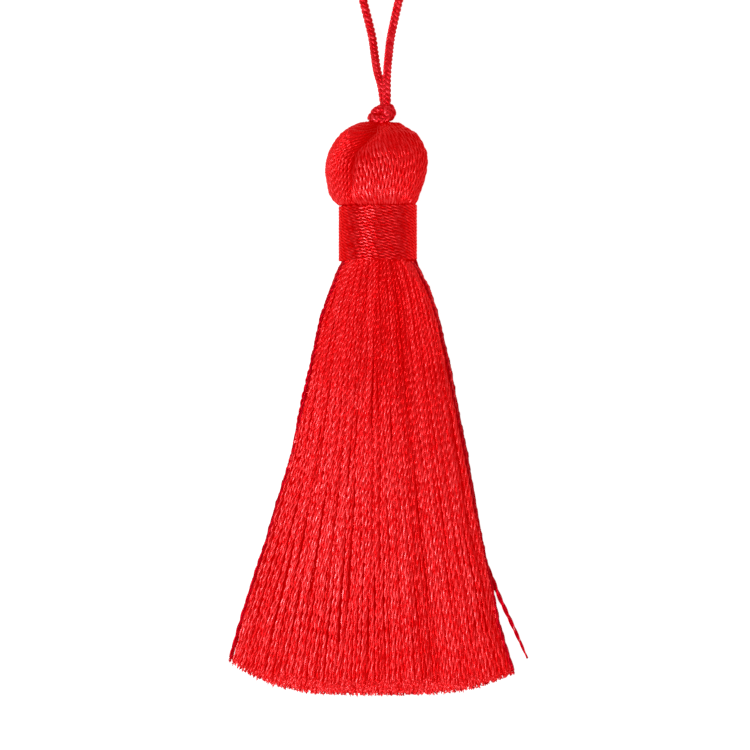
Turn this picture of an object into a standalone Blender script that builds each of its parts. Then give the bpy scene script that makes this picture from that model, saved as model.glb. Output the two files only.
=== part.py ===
"""Silk tassel lying on its back: a yarn head and skirt, a wound neck band, and a knotted hanging loop.

Metres, +Z up. The tassel's axis lies along Y with the head towards +Y, and everything rests on z = 0.
"""

import math
import random

import bmesh
import bpy
import numpy as np
from mathutils import Vector
from mathutils.geometry import interpolate_bezier

MM = 0.001

# Driving sizes of the tassel
AXIS_HEIGHT = 9.9 * MM  # a little under the head's radius, which leaves it a small flat spot
AXIS_X = 0.0 * MM  # the neck's centre line
CLEARANCE = 0.3 * MM  # between one piece and the next
BAND_TOP = 40.9 * MM
BAND_FOOT = 29.6 * MM
BAND_RADIUS = 7.9 * MM
BAND_THICKNESS = 0.5 * MM
CORE_RADIUS = BAND_RADIUS - BAND_THICKNESS - CLEARANCE
SKIRT_TOP = BAND_FOOT - CLEARANCE
SKIRT_TOP_RADIUS = 7.9 * MM
SKIRT_END = -57.3 * MM
SKIRT_LEFT = -29.7 * MM  # the corners of the skirt's lower edge
SKIRT_RIGHT = 27.3 * MM
LEFT_CORNER_RISE = 6.8 * MM  # how much further up than the middle each corner ends
RIGHT_CORNER_RISE = 4.7 * MM
CORD_RADIUS = 0.85 * MM
CORD_REST_HEIGHT = 0.87 * MM  # its centre line where it lies on the surface

# Locks of the skirt
LOCK_COLUMNS = 34
LOCKS_IN_TALLEST_COLUMN = 5
LOCK_TOP_WIDTH = 0.55  # of the width at its underside
LOCK_GAP_AT_ROOT = 0.18 * MM
LOCK_GAP_AT_TIP = 0.35 * MM
LOCK_STAGGER = 0.45  # how far each second row lies to one side, as a share of that gap
UNEVEN_LENGTH = 0.018  # the most that a lock is short, as a share of the skirt
UNEVEN_HEIGHT = 0.09  # the most that a column is low, as a share of its height
ROOT_SHARE = 0.01  # where a lock starts, inside the core
CORE_END_SHARE = 0.03  # where the locks part
CORE_RIM = 0.25 * MM  # how far the core stands out around the roots
RING_POINTS = 40

# The head from its crown to its neck, in millimetres: place along Y, half width, centre in X.
HEAD_SECTIONS = (
    (56.4, 0.9, 0.3),
    (56.8, 1.9, 0.3),
    (57.3, 2.9, 0.3),
    (56.9, 4.5, 0.3),
    (56.1, 6.2, 0.2),
    (55.0, 7.7, 0.2),
    (53.4, 8.9, 0.1),
    (51.3, 9.95, 0.0),
    (49.3, 10.3, -0.2),
    (47.3, 10.25, -0.4),
    (45.2, 9.8, -0.5),
    (43.2, 9.1, -0.6),
    (41.8, 8.45, -0.4),
    (41.25, 8.1, -0.2),
)

# Furrows that twist over the head: angle at the crown, at the widest part and at the neck in degrees,
# where 90 is straight up, then the depth in millimetres and the width in degrees.
FURROWS = (
    (92, 122, 126, 1.5, 9),
    (205, 238, 252, 1.0, 9),
    (330, 358, 372, 0.8, 9),
)

# The skirt from its top to its lower edge: share of its length, share of its spread, then in millimetres
# the height of its underside on the centre line, how much higher that is at the edges, and its top.
SKIRT_SECTIONS = (
    (0.00, 0.000, 2.0, 7.9, 17.8),
    (0.04, 0.060, 1.5, 6.8, 17.0),
    (0.075, 0.115, 1.0, 5.6, 16.1),
    (0.13, 0.180, 0.4, 3.4, 14.2),
    (0.24, 0.270, 0.0, 0.0, 11.4),
    (0.42, 0.420, 0.0, 0.0, 9.6),
    (0.70, 0.690, 0.0, 0.0, 8.2),
    (1.00, 1.000, 0.0, 0.0, 7.0),
)
LOCK_STATIONS = (ROOT_SHARE, 0.075, 0.13, 0.24, 0.42, 0.70, 1.00)

# One lock strays from the right edge: share of the skirt's length, distance from the edge in millimetres.
STRAY_SECTIONS = (
    (0.01, 0.0),
    (0.05, 0.1),
    (0.13, 0.25),
    (0.24, 0.25),
    (0.42, 0.25),
    (0.68, 0.3),
    (0.80, 1.1),
    (0.95, 2.65),
)
STRAY_WIDTH = 0.8 * MM
STRAY_HEIGHT = 1.0 * MM

# The knot's rope, in millimetres from the knot's centre.
KNOT_CENTRE = (0.85 * MM, 59.25 * MM, AXIS_HEIGHT)
KNOT_ROPE_RADIUS = 0.95 * MM
KNOT_BODY_SIZE = (4.0 * MM, 2.5 * MM, 3.4 * MM)
KNOT_VOXEL = 0.2 * MM
KNOT_KEPT_FACES = 0.13
KNOT_ROUTE = (
    (0.9, 1.35, 0.3),
    (1.5, 0.95, 0.9),
    (1.95, 0.1, 0.8),
    (1.6, -0.75, 0.1),
    (0.6, -1.0, -1.0),
    (-0.9, -0.6, -1.3),
    (-1.7, 0.2, -0.6),
    (-1.1, 0.7, 0.5),
    (0.0, 0.65, 1.2),
    (0.9, 0.1, 1.3),
    (1.0, -0.7, 0.9),
    (-0.2, -1.05, 1.1),
    (-1.5, -1.0, 0.8),
    (-1.95, -0.6, -0.2),
    (-0.9, -0.6, -0.9),
)

# The hanging loop's centre line, in millimetres: from the knot up its right side, round and back to the knot.
LOOP_ROUTE = (
    (1.8, 61.8, 10.6),
    (1.8, 64.8, 10.2),
    (1.9, 67.7, 9.0),
    (2.2, 71.0, 6.9),
    (2.6, 74.3, 4.6),
    (3.2, 77.4, 2.8),
    (4.2, 81.9, 1.3),
    (5.8, 88.0, 0.87),
    (7.4, 94.5, 0.87),
    (8.5, 101.5, 0.87),
    (8.1, 108.5, 0.87),
    (5.2, 114.0, 0.87),
    (0.6, 116.0, 0.87),
    (-4.1, 114.0, 0.87),
    (-7.0, 108.5, 0.87),
    (-7.3, 101.5, 0.87),
    (-6.1, 94.5, 0.87),
    (-4.4, 88.0, 0.87),
    (-2.9, 81.9, 0.87),
    (-1.75, 77.4, 1.2),
    (-1.05, 74.3, 2.1),
    (-0.6, 71.0, 3.6),
    (-0.1, 67.7, 5.6),
    (0.7, 64.8, 7.4),
    (1.3, 60.85, 8.55),
)
LOOP_POINTS_PER_SPAN = 2


def clear_scene():
    """Removes every object of the opening scene."""
    for obj in list(bpy.data.objects):
        bpy.data.objects.remove(obj, do_unlink=True)


def new_collection(name):
    """Makes a collection in the scene and returns it."""
    collection = bpy.data.collections.new(name)
    bpy.context.scene.collection.children.link(collection)
    return collection


def silk_material(name, colour, roughness):
    """Makes a plain silk finish of one colour."""
    material = bpy.data.materials.new(name)
    material.use_nodes = True
    shader = material.node_tree.nodes["Principled BSDF"]
    shader.inputs["Base Color"].default_value = (*colour, 1.0)
    shader.inputs["Roughness"].default_value = roughness
    shader.inputs["Metallic"].default_value = 0.0
    shader.inputs["Sheen Weight"].default_value = 0.4
    return material


def add_object(name, mesh, collection, material=None):
    """Puts a mesh in the scene as one object."""
    obj = bpy.data.objects.new(name, mesh)
    collection.objects.link(obj)
    if material:
        mesh.materials.append(material)
    return obj


def smooth_shading(mesh, sharp_angle=math.radians(50)):
    """Shades a mesh smooth, but for its sharp edges."""
    mesh.shade_smooth()
    mesh.set_sharp_from_angle(angle=sharp_angle)


def add_loft(bm, rings):
    """Adds a closed skin through rings of equal point counts, with a flat cap at each end."""
    made = [[bm.verts.new(point) for point in ring] for ring in rings]
    for lower, upper in zip(made, made[1:]):
        for here in range(len(lower)):
            there = (here + 1) % len(lower)
            bm.faces.new((lower[here], lower[there], upper[there], upper[here]))
    bm.faces.new(made[0][::-1])
    bm.faces.new(made[-1])


def loft_mesh(name, lofts):
    """Makes one mesh of several closed skins, with every face turned outwards."""
    bm = bmesh.new()
    for rings in lofts:
        add_loft(bm, rings)
    bmesh.ops.recalc_face_normals(bm, faces=bm.faces)
    mesh = bpy.data.meshes.new(name)
    bm.to_mesh(mesh)
    bm.free()
    return mesh


def skirt_section(share):
    """The spread, underside, rise of the underside and top of the skirt at a share of its length."""
    columns = np.array(SKIRT_SECTIONS).T
    spread = np.interp(share, columns[0], columns[1])
    underside, rise, top = (np.interp(share, columns[0], column) * MM for column in columns[2:])
    return spread, underside, rise, top


def skirt_place(across, share):
    """X and Y at a share of the skirt's length, with across from -1 at its left edge to 1 at its right."""
    spread = skirt_section(share)[0]
    corner = SKIRT_LEFT if across < 0 else SKIRT_RIGHT
    rise = LEFT_CORNER_RISE if across < 0 else RIGHT_CORNER_RISE
    top_x = AXIS_X + across * SKIRT_TOP_RADIUS
    end_x = abs(across) * corner
    end_y = SKIRT_END + rise * abs(across) ** 3
    return top_x + (end_x - top_x) * spread, SKIRT_TOP + (end_y - SKIRT_TOP) * share


def skirt_heights(across, share):
    """Height of the skirt's underside and of its top there: a circle at the neck, a flat lens at the end."""
    _, underside, rise, top = skirt_section(share)
    crown = math.sqrt(max(0.0, 1 - abs(across) ** (2 + share)))
    low = underside + rise * (1 - crown)
    return low, low + (top - underside) * crown


def furrow_depth(angle, place):
    """How deep the head's surface lies below its round form, from 0 at the neck to 1 at the crown in place."""
    depth = 0.0
    for crown, widest, neck, deep, width in FURROWS:
        centre = np.interp(place, (0, 0.5, 1), (neck, widest, crown))
        away = (math.degrees(angle) - centre + 180) % 360 - 180
        depth += deep * MM * math.exp(-((away / width) ** 2))
    return depth * min(1.0, 4 * place, 5 * (1 - place))


def head_rings():
    """Rings of the head, furrowed, with the lowest points set level on the surface."""
    rings = []
    places = [row[0] for row in HEAD_SECTIONS]
    for along, half_width, centre in HEAD_SECTIONS:
        place = (along - min(places)) / (max(places) - min(places))
        ring = []
        for step in range(RING_POINTS):
            angle = 2 * math.pi * step / RING_POINTS
            radius = half_width * MM - min(furrow_depth(angle, place), 0.2 * half_width * MM)
            height = AXIS_HEIGHT + radius * math.sin(angle)
            ring.append((centre * MM + radius * math.cos(angle), along * MM, max(height, 0.0)))
        rings.append(ring)
    return rings


def neck_rings():
    """Rings of the bundled yarn inside the neck band."""
    rings = []
    for along in (BAND_TOP + CLEARANCE, BAND_FOOT - CLEARANCE):
        ring = []
        for step in range(RING_POINTS):
            angle = 2 * math.pi * step / RING_POINTS
            height = AXIS_HEIGHT + CORE_RADIUS * math.sin(angle)
            ring.append((AXIS_X + CORE_RADIUS * math.cos(angle), along, height))
        rings.append(ring)
    return rings


def root_rings():
    """Rings of the yarn just under the neck, before its locks part."""
    rings = []
    for share in (0.0, CORE_END_SHARE):
        along = SKIRT_TOP - share * (SKIRT_TOP - SKIRT_END)
        ring = []
        for step in range(RING_POINTS):
            angle = 2 * math.pi * step / RING_POINTS
            across = math.cos(angle)
            low, high = skirt_heights(across, share)
            x = skirt_place(across, share)[0] + CORE_RIM * math.cos(angle)
            z = (high if math.sin(angle) >= 0 else low) + CORE_RIM * math.sin(angle)
            ring.append((x, along, z))
        rings.append(ring)
    return rings


def lock_ring(left, right, row, rows, share, height_share):
    """Four corners of a lock: narrower at its top than at its underside."""
    middle = (left + right) / 2
    low, high = skirt_heights(middle, share)
    high = low + (high - low) * height_share
    gap = np.interp(share, (ROOT_SHARE, 1), (LOCK_GAP_AT_ROOT, LOCK_GAP_AT_TIP))
    left_x, left_y = skirt_place(left, share)
    right_x, right_y = skirt_place(right, share)
    stagger = gap * LOCK_STAGGER * (1 if row % 2 else -1)
    centre = (left_x + right_x) / 2 + stagger
    half = (right_x - left_x - gap) / 2
    foot = low + (high - low) * row / rows
    crest = low + (high - low) * (row + 1) / rows - gap
    y = (left_y + right_y) / 2
    return (
        (centre - half, y, foot),
        (centre + half, y, foot),
        (centre + half * LOCK_TOP_WIDTH, y, crest),
        (centre - half * LOCK_TOP_WIDTH, y, crest),
    )


def skirt_locks():
    """Every lock of the skirt, as its list of rings from root to tip."""
    uneven = random.Random(4)
    locks = []
    edges = np.linspace(-1, 1, LOCK_COLUMNS + 1)
    for left, right in zip(edges, edges[1:]):
        crown = math.sqrt(1 - ((left + right) / 2) ** 2)
        count = max(1, round(LOCKS_IN_TALLEST_COLUMN * crown))
        height_share = 1 - uneven.uniform(0, UNEVEN_HEIGHT)
        for row in range(count):
            tip = 1 - uneven.uniform(0, UNEVEN_LENGTH)
            rings = []
            for station in LOCK_STATIONS:
                share = min(station, tip)
                rings.append(lock_ring(left, right, row, count, share, height_share))
            locks.append(rings)
    return locks


def stray_lock():
    """The lock that leaves the right edge of the skirt and ends apart from it."""
    rings = []
    for share, from_edge in STRAY_SECTIONS:
        edge_x, y = skirt_place(1, share)
        low, high = skirt_heights(0.97, share)
        foot = (low + high) / 2 - STRAY_HEIGHT / 2 if low > 0 else 0.0
        taper = np.interp(share, (0.6, 0.95), (1.0, 0.6))
        near = edge_x + from_edge * MM
        far = near + STRAY_WIDTH * taper
        crest = foot + STRAY_HEIGHT * taper
        slant = STRAY_WIDTH * taper * (1 - LOCK_TOP_WIDTH) / 2
        rings.append(((near, y, foot), (far, y, foot), (far - slant, y, crest), (near + slant, y, crest)))
    return rings


def make_yarn_bundle(collection, helpers, material):
    """Head, bundled neck and skirt: one skein of yarn, whose locks part under the neck."""
    core = loft_mesh("yarn_bundle", [head_rings() + neck_rings() + root_rings()])
    bundle = add_object("yarn_bundle", core, collection, material)
    smooth_shading(core)
    locks = loft_mesh("skirt_locks", skirt_locks() + [stray_lock()])
    cutter = add_object("skirt_locks", locks, helpers)
    cutter.hide_render = True
    cutter.display_type = "WIRE"
    union = bundle.modifiers.new("Locks", "BOOLEAN")
    union.operation = "UNION"
    union.solver = "EXACT"
    union.object = cutter


def make_neck_band(collection, material):
    """The thread wound round the neck, as a sleeve turned from its section."""
    inner = BAND_RADIUS - BAND_THICKNESS
    rounding = 0.3 * MM
    swell = 0.08 * MM
    section = (
        (inner, BAND_TOP),
        (BAND_RADIUS - rounding, BAND_TOP),
        (BAND_RADIUS, BAND_TOP - rounding),
        (BAND_RADIUS + swell, (BAND_TOP + BAND_FOOT) / 2),
        (BAND_RADIUS, BAND_FOOT + rounding),
        (BAND_RADIUS - rounding, BAND_FOOT),
        (inner, BAND_FOOT),
    )
    bm = bmesh.new()
    verts = [bm.verts.new((radius, 0, along)) for radius, along in section]
    for here, there in zip(verts, verts[1:] + verts[:1]):
        bm.edges.new((here, there))
    mesh = bpy.data.meshes.new("neck_band")
    bm.to_mesh(mesh)
    bm.free()
    band = add_object("neck_band", mesh, collection, material)
    band.location = (AXIS_X, 0, AXIS_HEIGHT)
    band.rotation_euler = (-math.pi / 2, 0, 0)
    turn = band.modifiers.new("Turn", "SCREW")
    turn.steps = 48
    turn.render_steps = 48
    turn.use_merge_vertices = True
    turn.merge_threshold = 0.00001
    turn.use_smooth_shade = True


def smooth_route(points, per_span):
    """Points on one smooth curve through a route's own points."""
    places = [Vector(point) for point in points]
    ends = [places[0]] + places + [places[-1]]
    route = []
    for before, start, end, after in zip(ends, ends[1:], ends[2:], ends[3:]):
        leave = start + (end - before) / 6
        arrive = end - (after - start) / 6
        route += interpolate_bezier(start, leave, arrive, end, per_span + 1)[:-1]
    return route + [places[-1]]


def tube_curve(name, route, radius):
    """A round tube along a route, with closed ends."""
    curve = bpy.data.curves.new(name, "CURVE")
    curve.dimensions = "3D"
    curve.bevel_depth = radius
    curve.bevel_resolution = 2
    curve.use_fill_caps = True
    spline = curve.splines.new("POLY")
    spline.points.add(len(route) - 1)
    for point, place in zip(spline.points, route):
        point.co = (*place, 1)
    return curve


def curve_to_mesh(name, curve):
    """The mesh of a curve, with its caps joined to its sides."""
    holder = bpy.data.objects.new(name, curve)
    bpy.context.scene.collection.objects.link(holder)
    evaluated = holder.evaluated_get(bpy.context.evaluated_depsgraph_get())
    mesh = bpy.data.meshes.new_from_object(evaluated)
    bpy.data.objects.remove(holder, do_unlink=True)
    bm = bmesh.new()
    bm.from_mesh(mesh)
    bmesh.ops.remove_doubles(bm, verts=bm.verts, dist=0.00001)
    bm.to_mesh(mesh)
    bm.free()
    return mesh


def make_knot(collection, material):
    """The overhand knot that the doubled cord is tied in, where it leaves the head."""
    centre = Vector(KNOT_CENTRE)
    route = [centre + Vector(place) * MM for place in smooth_route(KNOT_ROUTE, 3)]
    mesh = curve_to_mesh("knot_rope", tube_curve("knot_rope", route, KNOT_ROPE_RADIUS))
    bm = bmesh.new()
    bm.from_mesh(mesh)
    body = bmesh.ops.create_uvsphere(bm, u_segments=24, v_segments=16, radius=0.5)
    bmesh.ops.scale(bm, vec=KNOT_BODY_SIZE, verts=body["verts"])
    bmesh.ops.translate(bm, vec=centre, verts=body["verts"])
    bm.to_mesh(mesh)
    bm.free()
    mesh.materials.clear()
    knot = add_object("cord_knot", mesh, collection, material)
    merge = knot.modifiers.new("Merge", "REMESH")
    merge.mode = "VOXEL"
    merge.voxel_size = KNOT_VOXEL
    merge.use_smooth_shade = True
    lighten = knot.modifiers.new("Lighten", "DECIMATE")
    lighten.ratio = KNOT_KEPT_FACES


def make_loop(collection, material):
    """The hanging cord, laid in an open loop above the knot."""
    route = [place * MM for place in smooth_route(LOOP_ROUTE, LOOP_POINTS_PER_SPAN)]
    for place in route:
        place.z = max(place.z, CORD_REST_HEIGHT)
    curve = tube_curve("hanging_loop", route, CORD_RADIUS)
    curve.materials.append(material)
    collection.objects.link(bpy.data.objects.new("hanging_loop", curve))


def main():
    clear_scene()
    tassel = new_collection("silk_tassel")
    helpers = new_collection("helpers")
    yarn = silk_material("silk_yarn", (0.78, 0.004, 0.008), 0.42)
    wound = silk_material("silk_wound_thread", (0.72, 0.003, 0.007), 0.36)
    braid = silk_material("silk_braid", (0.76, 0.006, 0.012), 0.5)
    make_yarn_bundle(tassel, helpers, yarn)
    make_neck_band(tassel, wound)
    make_knot(tassel, braid)
    make_loop(tassel, braid)


main()
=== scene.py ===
"""A red silk tassel lying on its back: plied threads, wound neck, braided loop, light and camera.

Metres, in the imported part's frame: +Y runs from the skirt to the head, and +Z is up from the floor.
"""

import math

import bpy
import numpy as np
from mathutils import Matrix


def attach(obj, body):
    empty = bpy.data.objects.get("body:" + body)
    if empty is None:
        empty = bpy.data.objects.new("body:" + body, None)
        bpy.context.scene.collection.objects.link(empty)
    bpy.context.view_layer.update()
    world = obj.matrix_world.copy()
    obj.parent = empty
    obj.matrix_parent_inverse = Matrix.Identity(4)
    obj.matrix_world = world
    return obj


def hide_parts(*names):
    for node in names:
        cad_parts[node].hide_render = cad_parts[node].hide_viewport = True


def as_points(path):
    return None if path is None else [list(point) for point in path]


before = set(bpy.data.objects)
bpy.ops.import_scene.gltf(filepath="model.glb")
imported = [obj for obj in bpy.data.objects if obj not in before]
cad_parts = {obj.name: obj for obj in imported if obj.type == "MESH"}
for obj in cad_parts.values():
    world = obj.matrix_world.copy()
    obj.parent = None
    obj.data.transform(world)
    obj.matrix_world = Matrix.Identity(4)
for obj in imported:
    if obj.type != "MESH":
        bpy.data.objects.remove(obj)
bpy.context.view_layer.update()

MM = 0.001

# Camera and light
VIEW_CENTRE = (-0.56 * MM, 6.9 * MM)  # what the middle of the image looks at
VIEW_WIDTH = 150 * MM  # at the height of the tassel's outline
OUTLINE_HEIGHT = 6 * MM
CAMERA_DISTANCE = 1.5
SENSOR_WIDTH = 36.0
CLIP_START = 0.01
CLIP_END = 10.0
FLOOR_SIZE = 3.0
FLOOR_GREY = (0.2, 0.2, 0.2, 1.0)
FLOOR_GLOW = 0.9
ROOM_LIGHT = 0.3
KEY_LIGHT = ((-0.52, -0.33, 0.78), 1.1, 0.34, 21.0)  # direction, distance, size and power in watts
FILL_LIGHT = ((0.5, -0.2, 0.85), 1.2, 0.8, 7.0)
WHITE = (1.0, 1.0, 1.0, 1.0)
RED = (1.0, 0.0, 0.0, 1.0)

# Sizes shared with the part's solids
AXIS_HEIGHT = 9.9 * MM
BAND_TOP = 40.9 * MM
BAND_FOOT = 29.6 * MM
BAND_RADIUS = 7.9 * MM
NECK_RADIUS = 7.5 * MM  # of the yarn inside the band
SKIRT_TOP = 29.3 * MM
SKIRT_TOP_RADIUS = 7.9 * MM
SKIRT_END = -57.3 * MM
SKIRT_LEFT = -29.7 * MM
SKIRT_RIGHT = 27.3 * MM
LEFT_CORNER_RISE = 6.8 * MM
RIGHT_CORNER_RISE = 4.4 * MM  # 0.3 mm less than the solid's
CORNER_POWER = 3.4  # how late the lower edge rises towards its corners
CORD_REST_HEIGHT = 0.87 * MM

# The skirt from its top to its lower edge: share of its length, share of its spread, then in millimetres
# the height of its underside on the centre line, how much higher that is at the edges, and its top.
SKIRT_SECTIONS = (
    (0.00, 0.000, 2.0, 7.9, 17.8),
    (0.04, 0.060, 1.5, 6.8, 17.0),
    (0.075, 0.115, 1.0, 5.6, 16.1),
    (0.13, 0.180, 0.4, 3.4, 14.2),
    (0.24, 0.270, 0.0, 0.0, 11.4),
    (0.42, 0.420, 0.0, 0.0, 9.6),
    (0.70, 0.690, 0.0, 0.0, 8.2),
    (1.00, 1.000, 0.0, 0.0, 7.0),
)

# How far the edges bulge out: share of the skirt's length, then millimetres at the left and at the
# right.
EDGE_BULGE = (
    (0.00, 0.0, 0.0),
    (0.05, -0.25, 0.75),
    (0.15, -0.2, 1.2),
    (0.25, -0.2, 1.4),
    (0.40, -0.4, 1.25),
    (0.47, -0.8, 1.1),
    (0.53, -0.8, 0.75),
    (0.60, -0.6, 0.35),
    (0.70, -0.35, 0.1),
    (0.78, -0.15, 0.0),
    (0.88, 0.1, -0.6),
    (0.95, 0.0, -0.2),
    (1.00, 0.0, 0.0),
)

# The threads that stray from the right edge: share of the skirt's length, distance from the edge in
# millimetres.
STRAY_SECTIONS = (
    (-0.01, -0.6),
    (0.02, -0.9),
    (0.05, -1.2),
    (0.13, -1.3),
    (0.24, -1.3),
    (0.42, -1.3),
    (0.68, -0.9),
    (0.78, 0.1),
    (0.82, 0.6),
    (0.90, 2.05),
    (0.965, 3.35),
)

# The head from its neck to its crown, in millimetres: place along Y, half width, centre in X.
HEAD_SECTIONS = (
    (40.9, 7.75, -0.2),
    (41.8, 8.6, -0.5),
    (43.2, 9.25, -0.7),
    (45.2, 9.8, -0.5),
    (47.3, 10.25, -0.4),
    (49.3, 10.3, -0.2),
    (51.3, 9.95, 0.0),
    (53.4, 8.9, 0.1),
    (55.0, 7.7, 0.2),
    (56.1, 5.95, 0.0),
    (56.9, 4.5, 0.3),
    (57.1, 2.9, 0.3),
    (56.7, 1.6, 0.3),
)

# How the head's threads run: their angles in degrees at each of the places from the neck to the
# crown, where 0 is the right side and 90 straight up. The fan comes out from under the lobe, which
# wraps the rest.
RUN_PLACES = (0.0, 0.2, 0.42, 0.52, 0.60, 0.70, 0.82, 1.0)
FAN_RUNS = (
    (0, 0, 2, 3, 5, 7, 11, 18),
    (20, 23, 28, 32, 36, 41, 47, 56),
    (36, 41, 48, 54, 59, 66, 76, 91),
    (54, 60, 67, 73, 79, 86, 94, 106),
    (71, 78, 86, 92, 98, 104, 110, 121),
    (88, 97, 106, 111, 115, 120, 127, 135),
    (104, 114, 127, 132, 137, 141, 145, 152),
    (119, 128, 142, 147, 151, 153, 156, 161),
)
CLEFT_RUN = (126, 124, 123, 120, 109, 97, 91, 86)
LOBE_RUNS = (
    CLEFT_RUN,
    (140, 139, 138, 135, 127, 118, 111, 105),
    (183, 182, 178, 174, 170, 165, 158, 145),
    (252, 250, 245, 242, 238, 232, 226, 215),
    (310, 309, 307, 305, 303, 300, 296, 290),
    (355, 355, 355, 356, 357, 358, 359, 362),
)
HEAD_THREADS = 84
FAN_SPAN = 126  # degrees of the neck that the fan takes up
FAN_ANGLES = (0, 122)  # of its first and last thread at the neck
LOBE_ANGLES = (127, 356)
DIVES = (2.0, 0.80, 0.91, 0.80)  # places where threads go under the others; the first never does
DIVE_LENGTH = 0.05  # as a share of the way to the crown
DIVE_DEPTH = 0.7 * MM
FULL_SHADE_DEPTH = 1.6 * MM  # under the head's surface, where a thread's painted shade is at its darkest
LEAST_RADIUS = 0.3 * MM  # of the head's threads and inner yarn about its centre line
HEAD_THREAD_SIZE = 1.12  # times that of the skirt's threads
HEAD_FLATNESS = 0.75
HEAD_LINE_POINTS = 61
HEAD_RING_STEP = 0.4 * MM
HEAD_FAN_PITCH = 4.4 * MM
HEAD_LOBE_PITCH = 2.6 * MM
CORE_DEPTH = 2.2 * MM  # of the inner yarn under the head's surface
CORE_RINGS = 30
CORE_POINTS = 48  # round each ring of the inner yarn

# The thread wound round the neck
WINDING_TURNS = 16
WINDING_FOOT = 29.25 * MM  # where the last turn sags over the roots of the skirt
WINDING_RADIUS = 0.39 * MM
WINDING_STANDS_OUT = 0.18 * MM
WINDING_PITCH = 3.2 * MM
WINDING_SIZE = 1.15
WINDING_FLATNESS = 0.38
# how far the winding's tone goes towards the pink that paints sheen, from 0 to 1
WINDING_SHADE = 0.5

# How pale the threads are, from 0 to 1, and where: places first, then the shade at each of them. This is
# painted light: less painted sheen on the head's lobe and the fan's right side, painted shade towards
# the crown, and on the skirt painted shade near the neck and on its right side, away from the key light.
PALE_ROUND_HEAD = ((0, 40, 70, 122, 127), (0.35, 0.5, 0.75, 0.75, 0.3))  # at angles of the neck
PALE_UP_HEAD = ((0.0, 0.5, 0.75, 1.0), (1.0, 0.8, 0.12, 0.05))
PALE_DOWN_SKIRT = ((0.0, 0.25, 0.55, 0.75, 1.0), (0.3, 0.42, 0.85, 1.0, 0.75))
PALE_ACROSS_SKIRT = ((-1.0, 0.0, 0.5), (1.0, 1.0, 0.75))

# The least and the most shade of single threads and strands, from 0 to 1, and of their pitch. The shade
# is a random tone, towards the pink that paints sheen.
HEAD_SHADES = (0.3, 0.85)
SKIRT_SHADES = (0.3, 0.8)
LOOP_SHADES = (0.2, 0.7)
KNOT_SHADES = (0.2, 0.8)
HEAD_PITCHES = (0.85, 1.15)
SKIRT_PITCHES = (0.85, 1.25)

# The hanging loop's centre line, in millimetres, as in the part's source.
LOOP_ROUTE = (
    (1.8, 61.8, 10.6),
    (1.8, 64.8, 10.2),
    (1.9, 67.7, 9.0),
    (2.2, 71.0, 6.9),
    (2.6, 74.3, 4.6),
    (3.2, 77.4, 2.8),
    (4.2, 81.9, 1.3),
    (5.8, 88.0, 0.87),
    (7.4, 94.5, 0.87),
    (8.5, 101.5, 0.87),
    (8.1, 108.5, 0.87),
    (5.2, 114.0, 0.87),
    (0.6, 116.0, 0.87),
    (-4.1, 114.0, 0.87),
    (-7.0, 108.5, 0.87),
    (-7.3, 101.5, 0.87),
    (-6.1, 94.5, 0.87),
    (-4.4, 88.0, 0.87),
    (-2.9, 81.9, 0.87),
    (-1.75, 77.4, 1.2),
    (-1.05, 74.3, 2.1),
    (-0.6, 71.0, 3.6),
    (-0.1, 67.7, 5.6),
    (0.7, 64.8, 7.4),
    (1.3, 60.85, 8.55),
)

# The knot's rope, in millimetres from the knot's centre.
KNOT_CENTRE = (0.85, 59.25, 9.9)
KNOT_ROUTE = (
    (0.9, 1.35, 0.3),
    (1.5, 0.95, 0.9),
    (1.95, 0.1, 0.8),
    (1.6, -0.75, 0.1),
    (0.6, -1.0, -1.0),
    (-0.9, -0.7, -1.3),
    (-1.6, -0.2, -0.6),
    (-1.0, 0.35, 0.5),
    (0.0, 0.7, 1.2),
    (0.9, 0.2, 1.7),
    (1.0, -0.8, 1.8),
    (-0.2, -1.45, 2.2),
    (-1.6, -1.35, 1.7),
    (-2.1, -0.9, 0.5),
    (-0.9, -0.7, -0.7),
)

# Braided cord, with lengths as shares of its radius where no unit is given
BRAID_RADIUS = 0.92 * MM  # out to the strands that lie on top
KNOT_BRAID_RADIUS = 0.95 * MM
BRAID_PITCH = 4.0 * MM
BRAID_STEP = 0.25 * MM
KNOT_STEP = 0.2 * MM
STEPS_INTO_KNOT = 5  # by which each end of the loop runs on inside the knot
STRAND_DISTANCE = 0.62  # from the cord's middle to a strand's
STRAND_LIFT = 0.14  # how far a strand goes over and under the others
STRAND_RADIUS = 0.42
STRAND_OUTLINE = (1.0, 0.62, 0.62, 1.0, 0.62, 0.62)
BRAID_HOLLOW = (0.45, 0.95)  # from the cord's middle, between which the painted shade inside it fades out

# Plied thread
THREAD_RADIUS = 0.36 * MM
THREAD_SPACING = 0.69 * MM  # where they are packed at the neck
LAYER_SPACING = 0.76 * MM  # of the threads in a layer at the lower edge
PLY_RADIUS = 0.21 * MM
PLY_OFFSET = 0.18 * MM  # of each of a thread's two plies from its middle
PLY_SIDES = 5
END_PLIED = 9 * MM  # how much of a hidden thread's end shows its plies
EDGE_SHARE = 0.995  # of the skirt's spread, beyond which a thread is at the edge and gets the painted-shade silk
OUTERMOST = 4  # how many threads at each edge end right at the corner
PLAIN_OUTLINE = (1.1, 0.8, 0.8, 1.1, 0.8, 0.8)  # of a thread that hardly shows, as shares of its radius
# the painted shade of a thread that hardly shows, from 0 to 1
PLAIN_HOLLOW = 0.3
RING_STEP = 0.45 * MM
FINE_RING_STEP = 0.42 * MM  # of the threads on top
PITCH_AT_NECK = 2.2 * MM  # along a thread for one turn of its plies
PITCH_AT_END = 5.5 * MM
TOP_FLATNESS = 0.85
PAINTED_SUNK_SHADE = 0.55  # painted shade, from 0 to 1, of the threads on top that are made to look sunk between the others
PAINTED_SUNK_SHARE = 0.28  # of the threads on top, which get that painted shade
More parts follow.
